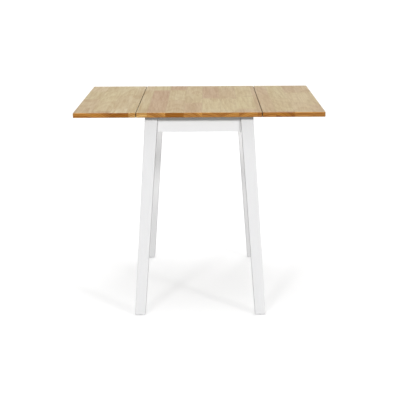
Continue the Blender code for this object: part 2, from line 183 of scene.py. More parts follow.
# Rounding of what is made again here
TURNED_SIDES = 36
SHARP_ANGLE = radians(35)  # an edge that turns further isn't shaded smooth
ROUNDED_ANGLE = radians(50)  # an edge that turns further is rounded
FLAT_ANGLE = radians(1)  # triangles that turn less are one flat face
LEG_TOP_SIZE = 0.0455
LEG_FOOT_SIZE = 0.0378
LEG_ROUNDING = 0.0022
LEG_ROUNDING_STEPS = 5
ARM_ROUNDING = 0.0014
ARM_ROUNDING_STEPS = 3
ARM_END_STEPS = 20
SHEET_ROUNDING = 0.0003
SHEET_ROUNDING_STEPS = 2
SAME_POINT = 1e-7  # points of a new shape closer than this are one point
SAME_CAD_POINT = 1e-6

# Countersunk screws
SCREW_HEAD_RADIUS = 0.0033
SCREW_HEAD_DEPTH = 0.0017
SCREW_RADIUS = 0.0016
SCREW_LENGTH = 0.012
SCREW_SINK = 0.0001  # how far a head lies below the face it is in
SCREW_RIM = 0.00015
SCREW_PLAY = 0.0002  # in its hole
HOLE_ABOVE = 0.001
HOLE_PAST = 0.002
RECESS_REACH = 0.0018
RECESS_HALF_WIDTH = 0.00042
RECESS_DEPTH = 0.0011
RECESS_RINGS = ((-0.0003, 1.05), (RECESS_DEPTH, 0.55))  # heights and how wide it is there

# Sheet metal
HINGE_THICKNESS = 0.0015
HINGE_SCREW_ROW = 0.0150  # from the pin's axis
HINGE_SCREW_STAGGER = 0.0030
HINGE_SCREW_PITCH = 0.020
BRACKET_THICKNESS = 0.0025
BRACKET_SCREW_Y = 0.019
BRACKET_SCREW_Z = 0.010
CATCH_LIP_WIDTH = 0.0115
CATCH_SCREW_Y = 0.008
PLATE_THICKNESS = 0.002
PLATE_FLANGE = 0.024
PLATE_SCREW_Z = 0.010
FIXING_THICKNESS = 0.002

# Bolts, nuts, pins and glides
BOLT_RADIUS = 0.004
BOLT_HOLE = 0.0043
THREAD_PITCH = 0.00125
THREAD_DEPTH = 0.0007
THREAD_RINGS = 6  # for each turn
THREAD_CHAMFER = 1.5 * THREAD_DEPTH
NUT_RADIUS = 0.0075
NUT_THICKNESS = 0.0065
NUT_SIDES = 48
NUT_FACE = 0.95  # the flat end, as a part of the distance from the axis to a side
NUT_CONE = 0.55  # fall of the turned-down corners for each unit outwards
NUT_LEAD = 0.0006
HINGE_PIN = (0.0014, 0.0026, 0.0010)  # shaft radius, head radius, head height
ARM_PIN = (0.0030, 0.0050, 0.0015)
ARM_PIN_PLAY = 0.0003
DOME_STEPS = 8
GLIDE_NAIL_RADIUS = 0.0013
GLIDE_THICKNESS = 0.002
GLIDE_SIDES = 48
GLIDE_LOWER_STEPS = 5
GLIDE_UPPER_STEPS = 4

CORNERS = ("front_left", "front_right", "rear_left", "rear_right")
UP = Vector((0.0, 0.0, 1.0))


class Graph:
    """The shader nodes of one material. An input may be a number, a tuple or a node's output."""

    def __init__(self, name):
        self.material = bpy.data.materials.new(name)
        self.material.use_nodes = True
        self.tree = self.material.node_tree
        self.shader = self.tree.nodes["Principled BSDF"]

    def node(self, kind, inputs=None, **settings):
        made = self.tree.nodes.new(kind)
        for key, value in settings.items():
            setattr(made, key, value)
        for key, value in (inputs or {}).items():
            self.feed(made.inputs[key], value)
        return made

    def feed(self, socket, value):
        if isinstance(value, bpy.types.NodeSocket):
            self.tree.links.new(value, socket)
        elif value is not None:
            socket.default_value = value

    def set(self, **inputs):
        """Feeds the Principled shader, with underscores for the spaces in a socket's name."""
        for key, value in inputs.items():
            self.feed(self.shader.inputs[key.replace("_", " ")], value)

    def math(self, operation, a, b=None, c=None, clamp=False):
        made = self.node("ShaderNodeMath", operation=operation, use_clamp=clamp)
        for socket, value in zip(made.inputs, (a, b, c)):
            self.feed(socket, value)
        return made.outputs[0]

    def vector(self, operation, a, b=None):
        made = self.node("ShaderNodeVectorMath", operation=operation)
        for socket, value in zip(made.inputs, (a, b)):
            self.feed(socket, value)
        return made.outputs[0]

    def split(self, vector):
        return self.node("ShaderNodeSeparateXYZ", {"Vector": vector}).outputs

    def join(self, x, y, z):
        return self.node("ShaderNodeCombineXYZ", {"X": x, "Y": y, "Z": z}).outputs[0]

    def weigh(self, *terms):
        """The sum of (value, weight) pairs."""
        total = None
        for value, weight in terms:
            part = self.math("MULTIPLY", value, weight)
            total = part if total is None else self.math("ADD", total, part)
        return total

    def spread(self, value, low, high):
        """Maps 0..1 to low..high."""
        return self.math("MULTIPLY_ADD", value, high - low, low)

    def step(self, value, low, high):
        """0 at low and 1 at high, clamped."""
        made = self.node("ShaderNodeMapRange", {"Value": value, "From Min": low, "From Max": high})
        return made.outputs[0]

    def mix(self, factor, a, b, blend="MIX"):
        # The node has sockets for each type of data, and these are the ones for colours
        made = self.node("ShaderNodeMix", data_type="RGBA", blend_type=blend)
        self.feed(made.inputs[0], factor)
        self.feed(made.inputs[6], a)
        self.feed(made.inputs[7], b)
        return made.outputs[2]

    def noise(self, vector, scale, detail=2.0, roughness=0.5):
        """Noise from 0 to 1 of a vector stretched by scale, which is one number for each axis."""
        stretched = self.vector("MULTIPLY", vector, scale)
        inputs = {"Vector": stretched, "Scale": 1.0, "Detail": detail, "Roughness": roughness}
        return self.node("ShaderNodeTexNoise", inputs).outputs[0]

    def dice(self, vector):
        """Three random numbers from 0 to 1 for each whole-numbered place."""
        return self.node("ShaderNodeTexWhiteNoise", {"Vector": vector}, noise_dimensions="3D")

    def ramp(self, factor, stops, interpolation="LINEAR"):
        made = self.node("ShaderNodeValToRGB", {"Fac": factor})
        ramp = made.color_ramp
        ramp.interpolation = interpolation
        while len(ramp.elements) < len(stops):
            ramp.elements.new(0.5)
        for element, (place, colour) in zip(ramp.elements, stops):
            element.position = place
            element.color = (*colour, 1.0)
        return made.outputs[0]

    def bump(self, height, distance, strength=1.0):
        inputs = {"Height": height, "Distance": distance, "Strength": strength}
        return self.node("ShaderNodeBump", inputs).outputs[0]

    def place(self):
        return self.node("ShaderNodeTexCoord").outputs["Object"]

    def facing(self):
        """The surface normal in the object's own frame, as X, Y and Z."""
        return self.split(self.node("ShaderNodeTexCoord").outputs["Normal"])


# Materials


def blocks(g, x, y):
    """Cuts the board into staves and blocks, whose ends interlock in fingers.

    Returns the stave's number, the place across it from -0.5 to 0.5, the place along it in
    block lengths and the block's own random draws.
    """
    across = g.math("DIVIDE", g.math("SUBTRACT", x, STAVE_START), STAVE_WIDTH)
    stave = g.math("FLOOR", across)
    in_stave = g.math("SUBTRACT", g.math("FRACT", across), 0.5)
    seed = g.math("ADD", stave, STAVE_SEED)
    stave_dice = g.node("ShaderNodeTexWhiteNoise", {"W": seed}, noise_dimensions="1D")
    slide, stretch, _ = g.split(stave_dice.outputs["Color"])
    finger = g.math("PINGPONG", x, FINGER_PITCH / 2)
    finger = g.math("MULTIPLY", finger, 2 * FINGER_LENGTH / FINGER_PITCH)
    shortest = (1 - BLOCK_LENGTH_SPREAD) * BLOCK_LENGTH
    longest = (1 + BLOCK_LENGTH_SPREAD) * BLOCK_LENGTH
    along = g.math("DIVIDE", g.math("ADD", y, finger), g.spread(stretch, shortest, longest))
    along = g.math("ADD", along, g.math("MULTIPLY", slide, BLOCK_SHIFTS))
    dice = g.dice(g.join(stave, g.math("FLOOR", along), 0.0))
    return stave, in_stave, along, dice


def distance_from_pith(g, in_stave, y, z, own, dice):
    """Each block is sawn from a log whose pith lies below it or beside it."""
    r, s, t = g.split(dice.outputs["Color"])
    pith_x = g.spread(r, -PITH_ASIDE, PITH_ASIDE)
    pith_z = g.spread(s, *PITH_DEPTH)
    aside = g.math("SUBTRACT", g.math("MULTIPLY", in_stave, STAVE_WIDTH), pith_x)
    above = g.math("SUBTRACT", g.math("SUBTRACT", z, BOARD_MIDDLE), pith_z)
    squares = g.math("ADD", g.math("POWER", aside, 2.0), g.math("POWER", above, 2.0))
    lean = g.math("MULTIPLY", y, g.spread(t, -GRAIN_LEAN, GRAIN_LEAN))
    radius = g.math("ADD", g.math("SQRT", squares), lean)
    wander = g.noise(own, WANDER_SCALE, 3.0)
    return g.math("ADD", radius, g.math("MULTIPLY", wander, RING_WANDER))


def face_colour(g, tone, own, late, wide, cloud, pores, fibre):
    """The faces of a block: its tone darkened by late wood, streaks and fibres."""
    colour = g.ramp(tone, BLOCK_TONES)
    dark = g.mix(1.0, colour, GRAIN_SHADE, "MULTIPLY")
    streak = g.noise(own, STREAK_SCALE, 4.0, 0.62)
    fleck = g.noise(own, FLECK_SCALE, 2.0, 0.6)
    rays = g.step(g.noise(own, RAY_SCALE, 1.0), 0.66, 0.78)
    amount = g.weigh(
        (late, 0.34),
        (wide, 0.40),
        (g.step(streak, 0.40, 0.66), 0.42),
        (g.step(fleck, 0.42, 0.66), 0.28),
        (g.step(fibre, 0.40, 0.75), 0.20),
    )
    colour = g.mix(g.math("MULTIPLY", amount, 1.0, clamp=True), colour, dark)
    colour = g.mix(g.math("MULTIPLY", cloud, 0.36), colour, dark)
    colour = g.mix(g.math("MULTIPLY", rays, 0.22), colour, RAY_COLOUR)
    return g.mix(g.math("MULTIPLY", pores, 0.35), colour, PORE_COLOUR)


def end_colour(g, stave, y, tone, own, rings, late, wide):
    """End grain drinks more lacquer: it is deeper in colour and differs more between blocks."""
    count = len(FRONT_EDGE_TONES)
    levels = [(index / count, (value,) * 3) for index, value in enumerate(FRONT_EDGE_TONES)]
    number = g.math("DIVIDE", g.math("ADD", stave, 0.5), count)
    front_tone = g.ramp(number, levels, "CONSTANT")
    colour = g.ramp(g.mix(g.step(y, -0.01, 0.01), front_tone, tone), END_TONES)
    dark = g.mix(1.0, colour, END_SHADE, "MULTIPLY")
    light = g.mix(1.0, colour, END_LIGHT, "MULTIPLY")
    early = g.math("SUBTRACT", 1.0, g.step(rings, 0.10, 0.45))
    colour = g.mix(g.math("MULTIPLY", early, 0.85), colour, light)
    speckle = g.step(g.noise(own, SPECKLE_SCALE, 2.0, 0.6), 0.50, 0.72)
    amount = g.weigh((late, 0.60), (speckle, 0.22))
    zone = g.math("MULTIPLY", g.step(wide, 0.42, 0.58), 0.60)
    return g.mix(g.math("ADD", amount, zone, clamp=True), colour, dark)


def block_wood():
    """Clear-lacquered hardwood. Every block has its own tone and its own annual rings."""
    g = Graph("block_wood")
    place = g.place()
    x, y, z = g.split(place)
    facing = g.facing()
    stave, in_stave, along, dice = blocks(g, x, y)
    tone = dice.outputs["Value"]
    own = g.vector("ADD", place, g.vector("MULTIPLY", dice.outputs["Color"], BLOCK_OFFSET))

    radius = distance_from_pith(g, in_stave, y, z, own, dice)
    rings = g.math("FRACT", g.math("DIVIDE", radius, RING_WIDTH))
    late = g.math("POWER", rings, 2.5)
    slow = g.join(g.math("MULTIPLY", radius, RING_SPREAD), tone, 0.0)
    wide = g.noise(slow, (1.0, 9.0, 1.0), 2.0)

    cloud = g.noise(own, CLOUD_SCALE, 2.0)
    fibre = g.noise(own, FIBRE_SCALE, 3.0, 0.6)
    pores = g.step(g.noise(own, PORE_SCALE, 1.0), 0.66, 0.74)
    end_grain = g.step(g.math("ABSOLUTE", facing[1]), 0.55, 0.95)
    faces = face_colour(g, tone, own, late, wide, cloud, pores, fibre)
    ends = end_colour(g, stave, y, tone, own, rings, late, wide)
    colour = g.mix(end_grain, faces, ends)

    # Glue lines between staves and at block ends
    between_staves = g.step(g.math("ABSOLUTE", in_stave), 0.4925, 0.4985)
    to_end = g.math("ABSOLUTE", g.math("SUBTRACT", g.math("FRACT", along), 0.5))
    on_face = g.math("SUBTRACT", 1.0, end_grain)
    at_end = g.math("MULTIPLY", g.step(to_end, 0.4986, 0.4996), on_face)
    glue = g.math("MAXIMUM", between_staves, at_end)
    colour = g.mix(g.math("MULTIPLY", glue, 0.35), colour, GLUE_AND_GAP_SHADE_COLOUR)

    # Painted shade: the edges that meet at the joints, and the end grain beside them, are darkened to
    # stand in for the shade in the gaps
    from_joint = g.math("ABSOLUTE", g.math("SUBTRACT", g.math("ABSOLUTE", x), JOINT_X))
    within_joint_shade = g.math("LESS_THAN", from_joint, JOINT_SHADE_REACH)
    sideways = g.step(g.math("ABSOLUTE", facing[0]), 0.55, 0.95)
    painted_joint_shade = g.math("MULTIPLY", within_joint_shade, g.math("MAXIMUM", sideways, end_grain))
    colour = g.mix(g.math("MULTIPLY", painted_joint_shade, 0.75), colour, GLUE_AND_GAP_SHADE_COLOUR)

    rough = g.math("ADD", 0.27, g.weigh((cloud, 0.08), (pores, 0.15), (end_grain, 0.20)))
    height = g.weigh((fibre, 0.35), (pores, -0.5), (glue, -0.6))
    g.set(Base_Color=colour, Roughness=rough, Normal=g.bump(height, 0.0002, 0.6))
    return g.material


def grain_scale(along, scale):
    """Cycles in a metre for each axis, from those across the grain and those along it."""
    across, lengthwise = scale
    return [lengthwise if axis == along else across for axis in "XYZ"]


def white_lacquer(along):
    """White satin lacquer with the wood's grain just showing; along is the grain's axis."""
    g = Graph(f"white_lacquer_{along.lower()}")
    place = g.place()
    grain = g.noise(place, grain_scale(along, LACQUER_FINE), 3.0, 0.6)
    figure = g.noise(place, grain_scale(along, LACQUER_BROAD), 2.0)
    orange_peel = g.noise(place, ORANGE_PEEL_SCALE, 1.0)
    # Painted light: one paint, made whiter on the aprons to offset the shade under the top's overhang
    painted_light_whiteness = WHITENESS_WITH_PAINTED_LIGHT[along]
    light = (painted_light_whiteness, painted_light_whiteness, painted_light_whiteness + LACQUER_BLUE)
    shade = [level * part for level, part in zip(light, LACQUER_SHADE)]
    colour = g.mix(g.weigh((grain, 0.50), (figure, 0.25)), (*light, 1.0), (*shade, 1.0))
    height = g.math("ADD", grain, g.math("MULTIPLY", orange_peel, 0.35))
    rough = g.math("ADD", 0.33, g.math("MULTIPLY", figure, 0.10))
    g.set(Base_Color=colour, Roughness=rough, Normal=g.bump(height, 0.00012, 0.5))
    return g.material


def zinc_steel(name, pale, grey, polish):
    """Zinc-plated steel: cloudy crystals, fine tumbling marks and a few long scratches."""
    g = Graph(name)
    place = g.place()
    clouds = g.noise(place, STEEL_CLOUD_SCALE, 4.0, 0.6)
    marks = g.noise(place, STEEL_MARK_SCALE, 2.0)
    scratch = g.step(g.noise(place, STEEL_SCRATCH_SCALE, 1.0), 0.62, 0.75)
    colour = g.mix(clouds, (*grey, 1.0), (*pale, 1.0))
    colour = g.mix(g.math("MULTIPLY", scratch, 0.25), colour, SCRATCH_COLOUR)
    rough = g.math("ADD", polish, g.math("MULTIPLY", marks, 0.16))
    height = g.math("ADD", marks, g.math("MULTIPLY", scratch, 0.6))
    g.set(
        Base_Color=colour,
        Roughness=rough,
        Metallic=1.0,
        Normal=g.bump(height, 0.00005, 0.5),
    )
    return g.material


def glide_plastic():
    """Off-white moulded polyethylene, dulled where it slides."""
    g = Graph("glide_plastic")
    place = g.place()
    mould = g.noise(place, MOULD_SCALE, 2.0)
    dust = g.noise(place, DUST_SCALE, 4.0, 0.6)
    colour = g.mix(dust, PLASTIC_COLOUR, PLASTIC_DUST)
    rough = g.math("ADD", 0.42, g.math("MULTIPLY", dust, 0.25))
    g.set(Base_Color=colour, Roughness=rough, Normal=g.bump(mould, 0.00006, 0.6))
    return g.material


WOOD = block_wood()
WHITE = {axis: white_lacquer(axis) for axis in "XYZ"}
HINGE_STEEL = zinc_steel("hinge_steel", HINGE_PALE, HINGE_GREY, 0.24)
FASTENER_STEEL = zinc_steel("fastener_steel", FASTENER_PALE, FASTENER_GREY, 0.30)
PLASTIC = glide_plastic()

# The CAD nodes that show as they are, and the material of each
KEPT_NODES = {
    "centre_top": WOOD,
    "left_leaf": WOOD,
    "right_leaf": WOOD,
    "front_apron": WHITE["X"],
    "rear_apron": WHITE["X"],
    "left_apron": WHITE["Y"],
    "right_apron": WHITE["Y"],
    "centre_rail": WHITE["X"],
}


def dress_kept_nodes():
    for name, material in KEPT_NODES.items():
        mesh = nodes[name].data
        mesh.materials.clear()
        mesh.materials.append(material)


# Mesh tools


def lathe(profile, sides=TURNED_SIDES):
    """A solid turned about Z from (radius, height) points that start and end on the axis."""
    bm = bmesh.new()
    points = [bm.verts.new((radius, 0.0, height)) for radius, height in profile]
    edges = [bm.edges.new(pair) for pair in zip(points, points[1:])]
    bmesh.ops.spin(
        bm,
        geom=points + edges,
        cent=(0, 0, 0),
        axis=(0, 0, 1),
        angle=2 * pi,
        steps=sides,
        use_merge=True,
    )
    bmesh.ops.remove_doubles(bm, verts=bm.verts, dist=SAME_POINT)
    bmesh.ops.recalc_face_normals(bm, faces=bm.faces)
    return bm


def arc(centre, radius, first, last, steps):
    """Points of a circle from one angle to another."""
    turns = [first + (last - first) * k / steps for k in range(steps + 1)]
    return [(centre[0] + radius * cos(turn), centre[1] + radius * sin(turn)) for turn in turns]


def bridged(rings, closed_ends=True):
    """A solid through rings of the same number of points."""
    bm = bmesh.new()
    rows = [[bm.verts.new(point) for point in ring] for ring in rings]
    for low, high in zip(rows, rows[1:]):
        for k, corner in enumerate(low):
            after = (k + 1) % len(low)
            bm.faces.new((corner, low[after], high[after], high[k]))
    if closed_ends:
        bm.faces.new(rows[0])
        bm.faces.new(rows[-1])
    bmesh.ops.recalc_face_normals(bm, faces=bm.faces)
    return bm


def soften(bm, width, steps):
    """Rounds every sharp edge."""
    sharp = [edge for edge in bm.edges if edge.calc_face_angle(0.0) > ROUNDED_ANGLE]
    bmesh.ops.bevel(
        bm,
        geom=sharp,
        offset=width,
        segments=steps,
        profile=0.5,
        affect="EDGES",
        clamp_overlap=True,
    )


def node_shape(node):
    """A CAD node's mesh as a closed solid, with whole flat faces in place of triangles."""
    bm = bmesh.new()
    bm.from_mesh(nodes[node].data)
    bmesh.ops.remove_doubles(bm, verts=bm.verts, dist=SAME_CAD_POINT)
    bmesh.ops.dissolve_limit(bm, angle_limit=FLAT_ANGLE, verts=bm.verts, edges=bm.edges)
    return bm


def new_object(name, data):
    made = bpy.data.objects.new(name, data)
    bpy.context.scene.collection.objects.link(made)
    return made


def carve(bm, cutter):
    """Subtracts one closed shape from another and returns what is left."""
    shapes = []
    for name, shape in (("solid", bm), ("cutter", cutter)):
        mesh = bpy.data.meshes.new(name)
        shape.to_mesh(mesh)
        shape.free()
        shapes.append(new_object(name, mesh))
    solid, tool = shapes
    boolean = solid.modifiers.new("cut", "BOOLEAN")
    boolean.operation = "DIFFERENCE"
    boolean.object = tool
    left = bmesh.new()
    left.from_object(solid, bpy.context.evaluated_depsgraph_get())
    for shape in shapes:
        mesh = shape.data
        bpy.data.objects.remove(shape)
        bpy.data.meshes.remove(mesh)
    return left


def join_copies(bm, places):
    """One mesh with a copy of the shape at each place."""
    master = bpy.data.meshes.new("master")
    bm.to_mesh(master)
    joined = bmesh.new()
    for place in places:
        copy = bmesh.new()
        copy.from_mesh(master)
        bmesh.ops.transform(copy, matrix=place, verts=copy.verts)
        part = bpy.data.meshes.new("copy")
        copy.to_mesh(part)
        copy.free()
        joined.from_mesh(part)
        bpy.data.meshes.remove(part)
    bpy.data.meshes.remove(master)
    return joined


def aimed(point, direction):
    """The place of a shape whose +Z is to point along a direction, from a point."""
    turn = Vector(direction).to_track_quat("Z", "Y")
    return Matrix.Translation(point) @ turn.to_matrix().to_4x4()


def level_normals(piece):
    """Makes wide faces look flat by turning the normals of rounded edges towards them."""
    modifier = piece.modifiers.new("level", "WEIGHTED_NORMAL")
    modifier.keep_sharp = True
    rounded = piece.data
    evaluated = piece.evaluated_get(bpy.context.evaluated_depsgraph_get())
    piece.data = bpy.data.meshes.new_from_object(evaluated)
    piece.modifiers.clear()
    bpy.data.meshes.remove(rounded)
    piece.data.name = piece.name


def add_piece(name, bm, material, slot, body, *replaced):
    """A visual piece that moves with a body and stands in for the CAD nodes it replaces."""
    mesh = bpy.data.meshes.new(name)
    bm.to_mesh(mesh)
    bm.free()
    mesh.shade_smooth()
    mesh.set_sharp_from_angle(angle=SHARP_ANGLE)
    mesh.materials.clear()
    mesh.materials.append(material)
    piece = new_object(name, mesh)
    level_normals(piece)
    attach(piece, body)
    if replaced:
        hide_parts(*replaced)


def middle(node):
    low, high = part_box(node)
    return (low + high) / 2


def body_of(node):
    return nodes[node]["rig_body"]


# Hardware


def cross_recess():
    """The shape that a screwdriver leaves: a cross that tapers as it goes down."""
    reach, width = RECESS_REACH, RECESS_HALF_WIDTH
    quarter = [(reach, -width), (reach, width), (width, width)]
    rings = []
    for height, size in RECESS_RINGS:
        ring = []
        for turn in range(4):
            c, s = round(cos(turn * pi / 2)), round(sin(turn * pi / 2))
            ring += [(size * (x * c - y * s), size * (x * s + y * c), height) for x, y in quarter]
        rings.append(ring)
    return bridged(rings)


def screw():
    """A countersunk screw about Z: its head's face at SCREW_SINK, its point towards +Z."""
    profile = [
        (0.0, SCREW_SINK),
        (SCREW_HEAD_RADIUS - SCREW_RIM, SCREW_SINK),
        (SCREW_HEAD_RADIUS, SCREW_SINK + SCREW_RIM),
        (SCREW_RADIUS, SCREW_SINK + SCREW_HEAD_DEPTH),
        (SCREW_RADIUS, SCREW_LENGTH - 2 * SCREW_RADIUS),
        (0.0, SCREW_LENGTH),
    ]
    return carve(lathe(profile), cross_recess())


# Made once: every screw is a copy of it
SCREW = screw()


def countersink(depth):
    """The hole for a screw, from just above the face to past the sheet."""
    head = SCREW_HEAD_RADIUS + SCREW_PLAY
    shank = SCREW_RADIUS + SCREW_PLAY
    return lathe(
        [
            (0.0, -HOLE_ABOVE),
            (head, -HOLE_ABOVE),
            (head, SCREW_SINK),
            (shank, SCREW_SINK + SCREW_HEAD_DEPTH),
            (shank, depth + HOLE_PAST),
            (0.0, depth + HOLE_PAST),
        ]
    )


def fit_sheet_metal(node, material, slot, thickness, spots):
    """A sheet-metal node with softened edges and countersunk screws.

    Each spot is the point of a screw on the face and the direction it is driven in.
    """
    bm = node_shape(node)
    soften(bm, SHEET_ROUNDING, SHEET_ROUNDING_STEPS)
    places = [aimed(point, direction) for point, direction in spots]
    bm = carve(bm, join_copies(countersink(thickness), places))
    add_piece(f"{node}_sheet", bm, material, slot, body_of(node), node)
    screws = join_copies(SCREW, places)
    add_piece(f"{node}_screws", screws, FASTENER_STEEL, "fastener_steel", body_of(node))


def fit_hinges():
    for side in ("left", "right"):
        for spot in ("front", "middle", "rear"):
            hinge = f"{side}_{spot}_hinge"
            axis = middle(f"{hinge}_pin")
            for flap in (f"{hinge}_fixed_flap", f"{hinge}_leaf_flap"):
                outwards = copysign(1.0, middle(flap).x - axis.x)
                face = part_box(flap)[1].z - HINGE_THICKNESS
                spots = []
                for k in (-1, 0, 1):
                    row = HINGE_SCREW_ROW + (HINGE_SCREW_STAGGER if k else -HINGE_SCREW_STAGGER)
                    y = axis.y + k * HINGE_SCREW_PITCH
                    spots.append(((axis.x + outwards * row, y, face), UP))
                fit_sheet_metal(flap, HINGE_STEEL, "hinge_steel", HINGE_THICKNESS, spots)


def fit_arm_hardware():
    for side, sign in (("left", -1.0), ("right", 1.0)):
        bracket = f"{side}_arm_bracket"
        low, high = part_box(bracket)
        back = low.x if sign > 0 else high.x
        centre = middle(bracket)
        spots = []
        for y in (-BRACKET_SCREW_Y, BRACKET_SCREW_Y):
            for z in (-BRACKET_SCREW_Z, BRACKET_SCREW_Z):
                point = (back + sign * BRACKET_THICKNESS, centre.y + y, centre.z + z)
                spots.append((point, (-sign, 0.0, 0.0)))
        fit_sheet_metal(bracket, HINGE_STEEL, "hinge_steel", BRACKET_THICKNESS, spots)
        catch = f"{side}_arm_catch"
        low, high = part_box(catch)
        x = (high.x if sign > 0 else low.x) - sign * CATCH_LIP_WIDTH / 2
        spots = [((x, y, low.z), UP) for y in (-CATCH_SCREW_Y, CATCH_SCREW_Y)]
        fit_sheet_metal(catch, HINGE_STEEL, "hinge_steel", high.z - low.z, spots)


def corner_signs(node):
    """The quarter of the table that a node is in, as the signs of its X and Y."""
    centre = middle(node)
    return copysign(1.0, centre.x), copysign(1.0, centre.y)


def fit_corner_plates():
    for corner in CORNERS:
        node = f"{corner}_corner_plate"
        low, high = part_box(node)
        sx, sy = corner_signs(node)
        outer = Vector((high.x if sx > 0 else low.x, high.y if sy > 0 else low.y, middle(node).z))
        inner = Vector((low.x if sx > 0 else high.x, low.y if sy > 0 else high.y, 0.0))
        spots = []
        for z in (-PLATE_SCREW_Z, PLATE_SCREW_Z):
            along_x = inner.x + sx * PLATE_FLANGE / 2
            along_y = inner.y + sy * PLATE_FLANGE / 2
            spots.append(((along_x, outer.y - sy * PLATE_THICKNESS, outer.z + z), (0.0, sy, 0.0)))
            spots.append(((outer.x - sx * PLATE_THICKNESS, along_y, outer.z + z), (sx, 0.0, 0.0)))
        fit_sheet_metal(node, FASTENER_STEEL, "fastener_steel", PLATE_THICKNESS, spots)


def fit_top_fixings():
    for name in ("front", "rear", "left_front", "left_rear", "right_front", "right_rear"):
        node = f"{name}_top_fixing"
        low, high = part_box(node)
        centre = middle(node)
        if name in ("front", "rear"):
            outwards = Vector((0.0, copysign(1.0, centre.y), 0.0))
        else:
            outwards = Vector((copysign(1.0, centre.x), 0.0, 0.0))
        reach = (high.z - low.z) / 2 - FIXING_THICKNESS
        half = FIXING_THICKNESS / 2
        on_apron = centre + outwards * reach - UP * half
        on_top = centre + UP * reach - outwards * half
        spots = [(on_apron, outwards), (on_top, UP)]
        fit_sheet_metal(node, FASTENER_STEEL, "fastener_steel", FIXING_THICKNESS, spots)


def threaded_rod(length):
    """A rod about Z with a thread that runs out into a chamfer at both ends."""
    rings = []
    count = ceil(length / THREAD_PITCH * THREAD_RINGS)
    for i in range(count + 1):
        height = length * i / count
        to_end = min(height, length - height)
        ring = []
        for k in range(TURNED_SIDES):
            phase = (height / THREAD_PITCH - k / TURNED_SIDES) % 1.0
            radius = BOLT_RADIUS - THREAD_DEPTH * abs(2 * phase - 1)
            radius = min(radius, BOLT_RADIUS - THREAD_CHAMFER + to_end)
            turn = 2 * pi * k / TURNED_SIDES
            ring.append((radius * cos(turn), radius * sin(turn), height))
        rings.append(ring)
    return bridged(rings)


def hexagon_nut():
    """A nut about Z, its corners turned down to a cone at both ends and its bore chamfered."""
    flat = NUT_RADIUS * cos(pi / 6)
    face = NUT_FACE * flat
    rows = [[] for _ in range(8)]
    for k in range(NUT_SIDES):
        turn = 2 * pi * k / NUT_SIDES
        radius = flat / cos((turn + pi / 6) % (pi / 3) - pi / 6)
        fall = (radius - face) * NUT_CONE
        section = [
            (BOLT_RADIUS + NUT_LEAD, 0.0),
            (face, 0.0),
            (radius, fall),
            (radius, NUT_THICKNESS - fall),
            (face, NUT_THICKNESS),
            (BOLT_RADIUS + NUT_LEAD, NUT_THICKNESS),
            (BOLT_RADIUS, NUT_THICKNESS - NUT_LEAD),
            (BOLT_RADIUS, NUT_LEAD),
        ]
        for row, (distance, height) in zip(rows, section):
            row.append((distance * cos(turn), distance * sin(turn), height))
    bm = bridged(rows + rows[:1], closed_ends=False)
    bmesh.ops.remove_doubles(bm, verts=bm.verts, dist=SAME_POINT)
    bmesh.ops.recalc_face_normals(bm, faces=bm.faces)
    return bm


def fit_leg_bolts():
    for corner in CORNERS:
        bolt = f"{corner}_hanger_bolt"
        nut = f"{corner}_leg_nut"
        low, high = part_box(bolt)
        sx, sy = corner_signs(bolt)
        inwards = Vector((-sx, -sy, 0.0)).normalized()
        length = (high.x - low.x) * sqrt(2) - 2 * BOLT_RADIUS
        bm = threaded_rod(length)
        bm.transform(aimed(middle(bolt) - inwards * length / 2, inwards))
        add_piece(f"{bolt}_thread", bm, FASTENER_STEEL, "fastener_steel", body_of(bolt), bolt)
        bm = hexagon_nut()
        bm.transform(aimed(middle(nut) - inwards * NUT_THICKNESS / 2, inwards))
        add_piece(f"{nut}_hexagon", bm, FASTENER_STEEL, "fastener_steel", body_of(nut), nut)


def rivet(radius, head_radius, head_height, reach):
    """A pin about Z with a domed head at each end, reach long in all."""
    half = reach / 2
    neck = half - head_height
    turns = [k * pi / 2 / DOME_STEPS for k in range(DOME_STEPS)]
    dome = [(head_radius * cos(turn), neck + head_height * sin(turn)) for turn in turns]
    upper = [(radius, neck)] + dome + [(0.0, half)]
    lower = [(distance, -height) for distance, height in reversed(upper)]
    return lathe(lower + upper)


def fit_pins():
    for node in nodes:
        if node.endswith("_pin"):
            sizes = ARM_PIN if node.endswith("_arm_pin") else HINGE_PIN
            low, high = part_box(node)
            bm = rivet(*sizes, high.y - low.y)
            bm.transform(aimed(middle(node), (0.0, 1.0, 0.0)))
            add_piece(f"{node}_rivet", bm, HINGE_STEEL, "hinge_steel", body_of(node), node)


def glide(radius, height):
    """A round-edged disc about Z with a nail that stands on it."""
    edge = GLIDE_THICKNESS / 2
    rim = GLIDE_THICKNESS - edge / 2
    lower = arc((radius - edge, edge), edge, -pi / 2, 0.0, GLIDE_LOWER_STEPS)
    upper = arc((radius - edge / 2, rim), edge / 2, 0.0, pi / 2, GLIDE_UPPER_STEPS)
    nail = [
        (GLIDE_NAIL_RADIUS, GLIDE_THICKNESS),
        (GLIDE_NAIL_RADIUS, height - GLIDE_NAIL_RADIUS),
        (0.0, height),
    ]
    return lathe([(0.0, 0.0)] + lower + upper + nail, GLIDE_SIDES)


def fit_glides():
    for node in nodes:
        if node.endswith("_glide"):
            low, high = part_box(node)
            bm = glide((high.x - low.x) / 2, high.z)
            centre = middle(node)
            bm.transform(Matrix.Translation((centre.x, centre.y, low.z)))
            add_piece(f"{node}_moulding", bm, PLASTIC, "glide_plastic", body_of(node), node)


# Woodwork with rounder edges than the CAD's


